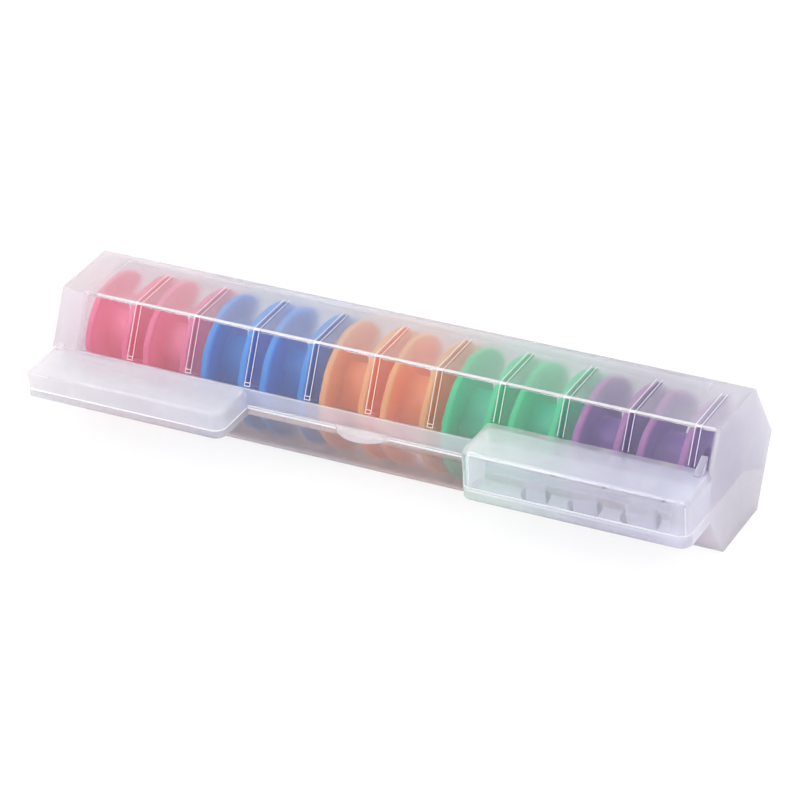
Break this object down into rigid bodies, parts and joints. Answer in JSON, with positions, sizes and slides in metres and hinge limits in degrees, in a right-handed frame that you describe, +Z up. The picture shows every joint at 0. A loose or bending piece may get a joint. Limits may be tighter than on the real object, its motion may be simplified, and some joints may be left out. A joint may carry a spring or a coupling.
{
  "type": "bobbin storage box",
  "caption": "Long hexagonal hinged box of frosted plastic that holds a row of coloured sewing bobbins, with small side compartments.",
  "frame": {"origin": "on the resting face, under the middle of the row of bobbins", "axes": "+X along the box towards the taller compartment, -Y towards the front with the thumb tab, +Z up"},
  "size_m": [0.1226, 0.0354, 0.0231],
  "materials": {
    "frosted_lid": "frosted, see-through",
    "frosted_base": "frosted, see-through",
    "bobbin_red": "glossy, slightly see-through",
    "bobbin_blue": "glossy, slightly see-through",
    "bobbin_orange": "glossy, slightly see-through",
    "bobbin_green": "glossy, slightly see-through",
    "bobbin_purple": "glossy, slightly see-through"
  },
  "bodies": {
    "base": {"base": "frosted_base"},
    "lid": {"lid": "frosted_lid"},
    "red_bobbin_1": {"red_bobbin_1": "bobbin_red"},
    "red_bobbin_2": {"red_bobbin_2": "bobbin_red"},
    "blue_bobbin_1": {"blue_bobbin_1": "bobbin_blue"},
    "blue_bobbin_2": {"blue_bobbin_2": "bobbin_blue"},
    "orange_bobbin_1": {"orange_bobbin_1": "bobbin_orange"},
    "orange_bobbin_2": {"orange_bobbin_2": "bobbin_orange"},
    "green_bobbin_1": {"green_bobbin_1": "bobbin_green"},
    "green_bobbin_2": {"green_bobbin_2": "bobbin_green"},
    "purple_bobbin_1": {"purple_bobbin_1": "bobbin_purple"},
    "purple_bobbin_2": {"purple_bobbin_2": "bobbin_purple"}
  },
  "joints": [
    {"name": "lid_hinge", "type": "hinge", "parent": "base", "child": "lid", "pos_m": [0, 0.0128, 0.0066], "axis": [-1, 0, 0], "range_deg": [0, 120]},
    {"name": "red_bobbin_1_spin", "type": "hinge", "parent": "base", "child": "red_bobbin_1", "pos_m": [-0.05175, 0, 0.0113], "axis": [1, 0, 0], "continuous": true},
    {"name": "red_bobbin_2_spin", "type": "hinge", "parent": "base", "child": "red_bobbin_2", "pos_m": [-0.04025, 0, 0.0113], "axis": [1, 0, 0], "continuous": true},
    {"name": "blue_bobbin_1_spin", "type": "hinge", "parent": "base", "child": "blue_bobbin_1", "pos_m": [-0.02875, 0, 0.0113], "axis": [1, 0, 0], "continuous": true},
    {"name": "blue_bobbin_2_spin", "type": "hinge", "parent": "base", "child": "blue_bobbin_2", "pos_m": [-0.01725, 0, 0.0113], "axis": [1, 0, 0], "continuous": true},
    {"name": "orange_bobbin_1_spin", "type": "hinge", "parent": "base", "child": "orange_bobbin_1", "pos_m": [-0.00575, 0, 0.0113], "axis": [1, 0, 0], "continuous": true},
    {"name": "orange_bobbin_2_spin", "type": "hinge", "parent": "base", "child": "orange_bobbin_2", "pos_m": [0.00575, 0, 0.0113], "axis": [1, 0, 0], "continuous": true},
    {"name": "green_bobbin_1_spin", "type": "hinge", "parent": "base", "child": "green_bobbin_1", "pos_m": [0.01725, 0, 0.0113], "axis": [1, 0, 0], "continuous": true},
    {"name": "green_bobbin_2_spin", "type": "hinge", "parent": "base", "child": "green_bobbin_2", "pos_m": [0.02875, 0, 0.0113], "axis": [1, 0, 0], "continuous": true},
    {"name": "purple_bobbin_1_spin", "type": "hinge", "parent": "base", "child": "purple_bobbin_1", "pos_m": [0.04025, 0, 0.0113], "axis": [1, 0, 0], "continuous": true},
    {"name": "purple_bobbin_2_spin", "type": "hinge", "parent": "base", "child": "purple_bobbin_2", "pos_m": [0.05175, 0, 0.0113], "axis": [1, 0, 0], "continuous": true}
  ]
}
